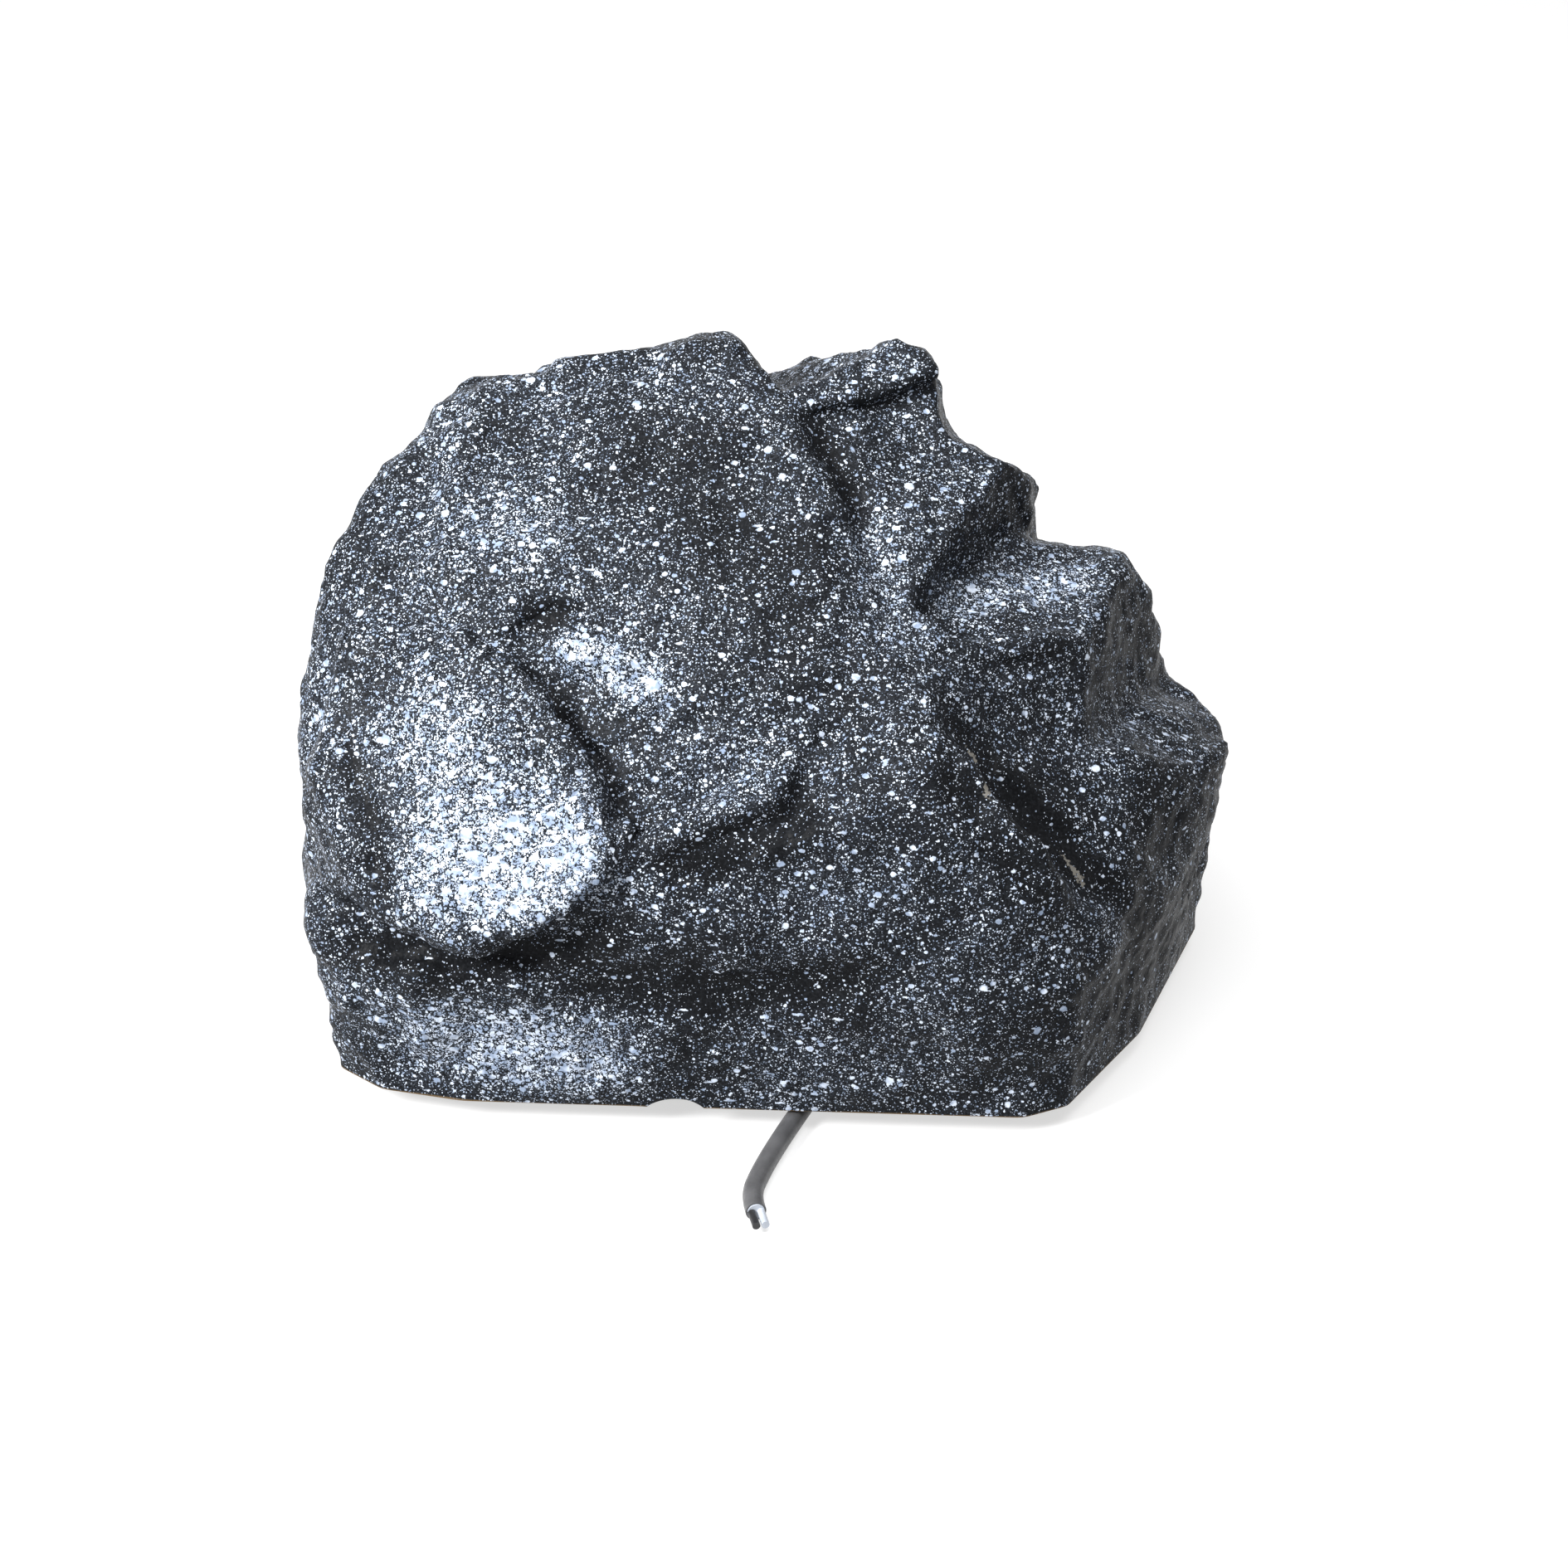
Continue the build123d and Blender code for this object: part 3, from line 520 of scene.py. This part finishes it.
def spray(stone, seen):
    """Stores at each vertex how thickly the white specks cover it, which paints light and shade, and how far
    the paint is worn.
    """
    points = places(stone)
    # More specks on faces turned to the light and fewer on faces turned away: painted light and shade
    towards = (normals(stone) @ np.array(PAINTED_LIGHT_FROM) + 1) / 2
    speck_cover_and_painted_light = COVER_AWAY_FROM_LIGHT + (COVER_TOWARDS_LIGHT - COVER_AWAY_FROM_LIGHT) * towards
    fray = STROKE_FRAY * noise_field(points, STROKE_FRAY_SIZE, RELIEF_START)
    # Strokes of painted light and shade: more specks on lit faces, fewer in shaded grooves, hollows and the
    # ridge's shade
    for pixels, reach, change in LIGHT_AND_SHADE_STROKES.values():
        speck_cover_and_painted_light += change * stroke(points, fray, photo_line(pixels, seen), reach)
    corners = [vert.co for vert in stone.vertices]
    finished = BVHTree.FromPolygons(corners, [face.vertices for face in stone.polygons])
    worn = sum(stroke(points, fray, photo_line(pixels, finished), WORN_REACH) for pixels in WORN_LINES)
    # The painted light and shade, as speck cover, and the wear go into the stone's attributes
    for name, values in (("speck_cover_and_painted_light", speck_cover_and_painted_light), ("worn", worn)):
        stone.attributes.new(name, "FLOAT", "POINT").data.foreach_set("value", values.astype(np.float32))


def make_stone():
    """The boulder: the shell's form, worn and given its relief, with the shell's own hollow and openings."""
    outer, inner = stone_skins()
    outer = close_skin(outer, ROOT_DEPTH, 0)
    inner = close_skin(inner, 2 * ROOT_DEPTH, 2 * MOUTH_DEPTH)
    hollow = search_tree(inner)
    seen = search_tree(outer)
    stone = modified(as_mesh(outer, "stone"), "REMESH", {"mode": "VOXEL", "voxel_size": MM * VOXEL})
    set_places(stone, rounded(stone, places(stone), ROUNDING_PASSES))
    give_relief(stone, seen, hollow)
    stone = cut(trimmed(stone), as_mesh(inner, "hollow"))
    stone = cut(stone, notch_tool())
    stone.materials.clear()
    smooth(stone, STONE_CREASE)
    spray(stone, seen)
    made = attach(add_object("boulder", stone, "stone_paint"), "enclosure")
    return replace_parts(made, "rock_shell")


def spoke(turn):
    """A direction across the driver's axis, at a turn in sectors."""
    side = Vector((1, 0, 0))
    angle = 2 * pi * (turn + RING_START) / RING_SECTORS
    return cos(angle) * side + sin(angle) * MOUTH_NORMAL.cross(side)


def make_soft_ring(node, fixed_radius, moving_radius):
    """A soft ring of the driver, cut into sectors, each along its own radius."""
    sectors = []
    for index in range(RING_SECTORS):
        form = bmesh.new()
        form.from_mesh(nodes[node].data)
        bmesh.ops.remove_doubles(form, verts=form.verts, dist=MM * RING_SAME_PLACE)
        for turn, sense in ((index, -1), (index + 1, 1)):
            bmesh.ops.bisect_plane(
                form,
                geom=form.verts[:] + form.edges[:] + form.faces[:],
                plane_co=MM * MOUTH_CENTRE,
                plane_no=sense * MOUTH_NORMAL.cross(spoke(turn)),
                clear_outer=True,
            )
            bmesh.ops.holes_fill(form, edges=[edge for edge in form.edges if edge.is_boundary])
        bmesh.ops.triangulate(form, faces=form.faces)
        mesh = as_mesh(form, node)
        smooth(mesh, RING_CREASE)
        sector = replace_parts(add_object(f"{node}_{index + 1}", mesh, slots[node]), node)
        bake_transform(sector)
        sectors.append(sector)
    return sectors


# Detail of a noise texture
PLAIN_DETAIL = 2.0
MIDDLE_DETAIL = 3.0
FINE_DETAIL = 4.0


def add_node(tree, kind, inputs, **settings):
    """A shader node with its settings, and its inputs linked or set."""
    made = tree.nodes.new(kind)
    for name, value in settings.items():
        setattr(made, name, value)
    for name, value in inputs.items():
        if isinstance(value, bpy.types.NodeSocket):
            tree.links.new(value, made.inputs[name])
        else:
            made.inputs[name].default_value = value
    return made


def math_node(tree, operation, *values):
    """The result of a Math node."""
    return add_node(tree, "ShaderNodeMath", dict(enumerate(values)), operation=operation).outputs[0]


def mix(tree, share, one, two):
    """Two colours mixed by a share."""
    inputs = {0: share, 6: one, 7: two}  # by number, because each data type uses the same names
    return add_node(tree, "ShaderNodeMix", inputs, data_type="RGBA").outputs[2]


def spread(tree, value, low, high, to_low=0.0, to_high=1.0):
    """A value carried from one range to another, and kept in it."""
    inputs = {"Value": value, "From Min": low, "From Max": high, "To Min": to_low, "To Max": to_high}
    return add_node(tree, "ShaderNodeMapRange", inputs, interpolation_type="SMOOTHSTEP").outputs[0]


def grain(tree, coords, size, detail=MIDDLE_DETAIL):
    """Noise with forms of a size."""
    inputs = {"Vector": coords, "Scale": 1 / (MM * size), "Detail": detail}
    return add_node(tree, "ShaderNodeTexNoise", inputs).outputs[0]


def rgba(colour):
    """A linear colour with its alpha."""
    return (*colour, 1)


def start_material(name):
    """A new material: its tree, its shader and its object coordinates."""
    material = bpy.data.materials.new(name)
    material.use_nodes = True
    tree = material.node_tree
    coords = tree.nodes.new("ShaderNodeTexCoord").outputs["Object"]
    return material, tree, tree.nodes["Principled BSDF"], coords


def bump(tree, shader, height, depth):
    """A bump of a depth in the shader's surface."""
    made = add_node(tree, "ShaderNodeBump", {"Height": height, "Strength": 1.0, "Distance": MM * depth})
    tree.links.new(made.outputs[0], shader.inputs["Normal"])


# Layers of spray: turn in degrees, how far droplets are drawn out, their spacing, least and greatest radius
# as a share of the spacing, and the share of places filled
SPRAY = [
    ((40, 0, 15), 1.0, 0.55, 0.18, 0.45, 0.62),
    ((0, 0, 0), 1.0, 0.9, 0.15, 0.42, 0.80),
    ((10, 20, 0), 1.15, 1.6, 0.12, 0.40, 0.70),
    ((0, -25, 10), 1.3, 3.0, 0.10, 0.36, 0.50),
    ((20, 10, -15), 1.25, 5.6, 0.08, 0.27, 0.35),
    ((35, 0, 25), 4.5, 3.0, 0.08, 0.20, 0.40),
    ((-20, 30, -35), 4.5, 3.0, 0.08, 0.20, 0.30),
]
DROPLET_EDGE = 0.07  # soft edge of a droplet, as a share of the spacing
THIN_COVER, THICK_COVER = 0.3, 1.6  # speck cover, with its painted light and shade, at which droplets are smallest and largest
THIN_DROPLET, THICK_DROPLET = 0.9, 1.35
PAINT_DARK = (0.0065, 0.0070, 0.0082)
PAINT_LIGHT = (0.016, 0.0175, 0.0205)
MIST = (0.044, 0.052, 0.067)
WORN_EDGE = (0.21, 0.20, 0.18)
SPECK_COOL = (0.28, 0.35, 0.48)
SPECK_WHITE = (0.68, 0.75, 0.87)
RAW_EDGE = (0.16, 0.11, 0.06)
PATCH_SIZE = 30  # patches with more and less spray
PATCH_CHANGE = 0.7  # in cover, from the thinnest patch to the thickest
SHAKE_SIZE = 1.2  # noise that makes the droplets uneven
SHAKE = 0.9
HAZE_SIZE, HAZE_RANGE = 0.9, (0.4, 0.75)  # each range is a stretch of the noise over which the change runs
MIST_SIZE, MIST_RANGE = 0.6, (0.42, 0.62)  # the finest droplets, drawn as a mist
MIST_COVER = (0.3, 1.1)  # speck cover, with its painted light and shade, over which the mist comes in
TINT_SIZE, TINT_RANGE = 3, (0.35, 0.65)
WORN_SIZE, WORN_RANGE = 1.1, (0.30, 0.42)
RIM_WAVER = 1.2
RIM_PAINTED, RIM_BARE = 9.2, 8.6  # heights between which the paint ends at the rim
PAINT_GLOSS = 0.04
GLOSS_SIZE, GLOSS_RANGE = 3, (0.3, 0.7)
PAINT_ROUGHNESS = (0.30, 0.46)
PAINT_GRAIN = 1.6
PAINT_WAVES = 5
PAINT_WAVES_RISE = 3.0  # times the grain's rise
PAINT_BUMP = 0.26


def droplets(tree, coords, speck_cover_and_painted_light, turn, stretch, spacing, least, greatest, filled):
    """One layer of the spray: where its droplets are, as a share."""
    turned = add_node(
        tree,
        "ShaderNodeMapping",
        {"Vector": coords, "Rotation": [radians(angle) for angle in turn], "Scale": (1 / stretch, 1, 1)},
    )
    cells = add_node(tree, "ShaderNodeTexVoronoi", {"Vector": turned.outputs[0], "Scale": 1 / (MM * spacing)})
    chance = add_node(tree, "ShaderNodeSeparateColor", {"Color": cells.outputs["Color"]})
    radius = spread(tree, chance.outputs["Red"], 0, 1, least, greatest)
    # Droplets grow and come more often where light is painted, and shrink and thin out where shade is painted
    growth = spread(tree, speck_cover_and_painted_light, THIN_COVER, THICK_COVER, THIN_DROPLET, THICK_DROPLET)
    grown = math_node(tree, "MULTIPLY", radius, growth)
    inside = math_node(tree, "SUBTRACT", grown, cells.outputs["Distance"])
    share = math_node(tree, "MULTIPLY", speck_cover_and_painted_light, filled)
    there = math_node(tree, "LESS_THAN", chance.outputs["Green"], share)
    return math_node(tree, "MULTIPLY", spread(tree, inside, 0, DROPLET_EDGE), there)


def stored(tree, name):
    """A value that the stone's vertices hold."""
    return add_node(tree, "ShaderNodeAttribute", {}, attribute_name=name).outputs["Fac"]


def stone_paint():
    """Charcoal paint under a spray of white droplets, thicker where light is painted and thinner where shade
    is painted.
    """
    material, tree, shader, coords = start_material("stone_paint")
    patches = grain(tree, coords, PATCH_SIZE)
    change = math_node(tree, "MULTIPLY_ADD", patches, PATCH_CHANGE, -PATCH_CHANGE / 2)
    # The painted light and shade stored at the vertices, with random patches of more and less spray
    speck_cover_and_painted_light = math_node(tree, "MAXIMUM", math_node(tree, "ADD", stored(tree, "speck_cover_and_painted_light"), change), LEAST_COVER)

    inputs = {"Vector": coords, "Scale": 1 / (MM * SHAKE_SIZE), "Detail": PLAIN_DETAIL}
    shake = add_node(tree, "ShaderNodeTexNoise", inputs).outputs["Color"]
    inputs = {0: shake, 1: (MM * SHAKE,) * 3, 2: coords}
    shaken = add_node(tree, "ShaderNodeVectorMath", inputs, operation="MULTIPLY_ADD").outputs[0]
    total = None
    for layer in SPRAY:
        shape = droplets(tree, shaken, speck_cover_and_painted_light, *layer)
        total = shape if total is None else math_node(tree, "MAXIMUM", total, shape)

    haze = spread(tree, grain(tree, coords, HAZE_SIZE, PLAIN_DETAIL), *HAZE_RANGE)
    base = mix(tree, haze, rgba(PAINT_DARK), rgba(PAINT_LIGHT))
    mist = spread(tree, grain(tree, coords, MIST_SIZE), *MIST_RANGE)
    # The mist lightens the base paint more where light is painted and less where shade is painted
    mist_and_painted_light = math_node(tree, "MULTIPLY", spread(tree, speck_cover_and_painted_light, *MIST_COVER), mist)
    base = mix(tree, mist_and_painted_light, base, rgba(MIST))
    tint = spread(tree, grain(tree, coords, TINT_SIZE), *TINT_RANGE)
    speck = mix(tree, tint, rgba(SPECK_COOL), rgba(SPECK_WHITE))
    painted = mix(tree, total, base, speck)

    chips = math_node(tree, "MULTIPLY", stored(tree, "worn"), grain(tree, coords, WORN_SIZE, FINE_DETAIL))
    painted = mix(tree, spread(tree, chips, *WORN_RANGE), painted, rgba(WORN_EDGE))
    height = add_node(tree, "ShaderNodeSeparateXYZ", {"Vector": coords}).outputs["Z"]
    height = math_node(tree, "ADD", height, math_node(tree, "MULTIPLY", patches, MM * RIM_WAVER))
    bare = spread(tree, height, MM * RIM_PAINTED, MM * RIM_BARE)
    tree.links.new(mix(tree, bare, painted, rgba(RAW_EDGE)), shader.inputs["Base Color"])

    rough = spread(tree, grain(tree, coords, GLOSS_SIZE), *GLOSS_RANGE, *PAINT_ROUGHNESS)
    tree.links.new(rough, shader.inputs["Roughness"])
    shader.inputs["Specular IOR Level"].default_value = PAINT_GLOSS
    waves = grain(tree, coords, PAINT_WAVES)
    fine = grain(tree, coords, PAINT_GRAIN, FINE_DETAIL)
    surface = math_node(tree, "MULTIPLY_ADD", waves, PAINT_WAVES_RISE, fine)
    bump(tree, shader, surface, PAINT_BUMP)
    return material


GRAIN_RANGE = (0.3, 0.7)
BROAD_GRAIN = 9  # times the fine grain


def plain_finish(name, dark, light, rough, size, depth, metal=0.0, stretch=(1, 1, 1)):
    """A finish with fine grain in its gloss and surface, and broad grain in its colour."""
    material, tree, shader, coords = start_material(name)
    coords = add_node(tree, "ShaderNodeMapping", {"Vector": coords, "Scale": stretch}).outputs[0]
    fine = grain(tree, coords, size, FINE_DETAIL)
    broad = spread(tree, grain(tree, coords, BROAD_GRAIN * size), *GRAIN_RANGE)
    tree.links.new(mix(tree, broad, rgba(dark), rgba(light)), shader.inputs["Base Color"])
    tree.links.new(spread(tree, fine, *GRAIN_RANGE, *rough), shader.inputs["Roughness"])
    shader.inputs["Metallic"].default_value = metal
    bump(tree, shader, fine, depth)
    return material


WEAVE_TURN = (radians(-10), 0, radians(45))
WEAVE_ROUGHNESS = (0.95, 0.7)
WEAVE_WAVER = 0.6
WEAVE_DETAIL = 1.0
WAVE_UNIT = 20  # radians of a wave texture in one unit of its coordinates


def woven_finish(name, dark, light, radian, depth):
    """Cloth of crossing threads, with the length of one radian of their wave."""
    material, tree, shader, coords = start_material(name)
    turned = add_node(tree, "ShaderNodeMapping", {"Vector": coords, "Rotation": WEAVE_TURN}).outputs[0]
    inputs = {
        "Vector": turned,
        "Scale": 1 / (MM * radian * WAVE_UNIT),
        "Distortion": WEAVE_WAVER,
        "Detail": WEAVE_DETAIL,
    }
    ways = []
    for direction in ("X", "Z"):
        wave = add_node(tree, "ShaderNodeTexWave", inputs, wave_type="BANDS", bands_direction=direction)
        ways.append(wave.outputs["Fac"])
    weave = math_node(tree, "MULTIPLY", *ways)
    tree.links.new(mix(tree, weave, rgba(dark), rgba(light)), shader.inputs["Base Color"])
    tree.links.new(spread(tree, weave, 0, 1, *WEAVE_ROUGHNESS), shader.inputs["Roughness"])
    bump(tree, shader, weave, depth)
    return material


PLYWOOD_GRAIN = (0.12, 1, 1)  # drawn out along X
WINDING_GRAIN = (0.2, 0.2, 2.2)  # drawn out level, in fine layers

# Finish of each slot: its function, the darkest and lightest colour, and that function's other values
FINISHES = {
    "sealed_plywood": (
        plain_finish, (0.020, 0.013, 0.008), (0.050, 0.032, 0.020), (0.45, 0.7), 1.5, 0.12, 0, PLYWOOD_GRAIN
    ),
    "foam": (plain_finish, (0.010, 0.010, 0.010), (0.022, 0.022, 0.022), (0.9, 1.0), 0.6, 0.25),
    "black_rubber": (plain_finish, (0.012, 0.012, 0.013), (0.022, 0.022, 0.022), (0.55, 0.8), 0.5, 0.05),
    "zinc_steel": (plain_finish, (0.42, 0.42, 0.40), (0.62, 0.61, 0.58), (0.22, 0.42), 0.8, 0.02, 1),
    "black_steel": (plain_finish, (0.010, 0.010, 0.011), (0.020, 0.020, 0.021), (0.42, 0.62), 0.35, 0.05),
    "black_polymer": (plain_finish, (0.014, 0.014, 0.015), (0.026, 0.026, 0.028), (0.32, 0.5), 0.6, 0.03),
    "ferrite": (plain_finish, (0.030, 0.030, 0.032), (0.060, 0.060, 0.062), (0.6, 0.8), 0.7, 0.06),
    "copper": (
        plain_finish, (0.48, 0.19, 0.08), (0.68, 0.30, 0.14), (0.2, 0.35), 0.5, 0.03, 1, WINDING_GRAIN
    ),
    "tinned_brass": (plain_finish, (0.55, 0.50, 0.38), (0.72, 0.69, 0.60), (0.25, 0.45), 0.5, 0.02, 1),
    "circuit_board": (plain_finish, (0.16, 0.10, 0.035), (0.24, 0.155, 0.06), (0.45, 0.65), 0.8, 0.03),
    "cement": (plain_finish, (0.55, 0.53, 0.48), (0.70, 0.68, 0.63), (0.8, 0.95), 0.5, 0.08),
    "phenolic": (plain_finish, (0.10, 0.045, 0.020), (0.17, 0.080, 0.038), (0.4, 0.6), 0.6, 0.03),
    "grey_vinyl": (plain_finish, (0.072, 0.072, 0.075), (0.11, 0.11, 0.114), (0.36, 0.55), 0.9, 0.03),
    "black_vinyl": (plain_finish, (0.012, 0.012, 0.013), (0.022, 0.022, 0.024), (0.35, 0.5), 0.5, 0.02),
    "white_vinyl": (plain_finish, (0.46, 0.50, 0.57), (0.58, 0.62, 0.69), (0.35, 0.5), 0.5, 0.02),
    "spider_cloth": (woven_finish, (0.30, 0.20, 0.06), (0.52, 0.38, 0.14), 0.5, 0.12),
    "dome_cloth": (woven_finish, (0.010, 0.010, 0.012), (0.035, 0.035, 0.04), 0.3, 0.05),
}


def dress(pieces):
    """Gives every node and every new piece the finish of its slot."""
    materials = {slot: make(slot, *values) for slot, (make, *values) in FINISHES.items()}
    materials["stone_paint"] = stone_paint()
    for name, slot in slots.items():
        nodes[name].data.materials.clear()
        nodes[name].data.materials.append(materials[slot])
    for piece in pieces:
        piece.data.materials.clear()
        piece.data.materials.append(materials[piece["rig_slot"]])


# Studio, with each lamp's place and side in metres and its power in watts
FLOOR_SIZE = 12  # m, half of a side
FLOOR_SQUARES = 8
FLOOR_COLOUR = (0.45, 0.45, 0.45)
FLOOR_ROUGHNESS = 0.9
FLOOR_SHOWN = 0.62  # light of its own, for the rays that show the background
WHITE = (1, 1, 1)
WORLD_LIGHT = 0.3
WORLD_SHOWN = 1.0
LAMPS = {
    "key": ((-0.98, -0.72, 0.88), 0.40, 29),
    "top": ((0.15, -0.35, 1.5), 1.0, 18),
    "fill": ((1.6, -1.6, 1.2), 1.6, 2),
}
LAMP_AIM = Vector((0, 0, 0.1))  # m


def shown_rays(tree):
    """1 for the rays that show the background, straight or in gloss and glass."""
    path = tree.nodes.new("ShaderNodeLightPath").outputs
    mirrored = math_node(tree, "MAXIMUM", path["Is Glossy Ray"], path["Is Transmission Ray"])
    return math_node(tree, "MAXIMUM", path["Is Camera Ray"], mirrored)


def make_studio():
    """A pale floor, a white background and soft lamps."""
    floor = bmesh.new()
    bmesh.ops.create_grid(floor, x_segments=FLOOR_SQUARES, y_segments=FLOOR_SQUARES, size=FLOOR_SIZE)
    ground = bpy.data.objects.new("floor", as_mesh(floor, "floor"))
    scene.collection.objects.link(ground)
    material, tree, shader, _ = start_material("floor")
    shader.inputs["Base Color"].default_value = rgba(FLOOR_COLOUR)
    shader.inputs["Roughness"].default_value = FLOOR_ROUGHNESS
    shader.inputs["Emission Color"].default_value = rgba(WHITE)
    strength = spread(tree, shown_rays(tree), 0, 1, 0, FLOOR_SHOWN)
    tree.links.new(strength, shader.inputs["Emission Strength"])
    ground.data.materials.append(material)

    world = bpy.data.worlds.new("studio")
    scene.world = world
    world.use_nodes = True
    tree = world.node_tree
    strength = spread(tree, shown_rays(tree), 0, 1, WORLD_LIGHT, WORLD_SHOWN)
    tree.links.new(strength, tree.nodes["Background"].inputs["Strength"])
    tree.nodes["Background"].inputs["Color"].default_value = rgba(WHITE)

    for name, (place, size, power) in LAMPS.items():
        lamp = bpy.data.lights.new(name, "AREA")
        lamp.size = size
        lamp.energy = power
        holder = bpy.data.objects.new(name, lamp)
        holder.location = place
        holder.rotation_euler = (LAMP_AIM - Vector(place)).to_track_quat("-Z", "Y").to_euler()
        scene.collection.objects.link(holder)


cable_filler = make_filler()
made_pieces = [cable_filler, make_cable(), make_stone()]
for ring, radii in SOFT_RINGS.items():
    made_pieces += make_soft_ring(ring, *radii)
dress(made_pieces)
make_studio()

bpy.context.view_layer.update()
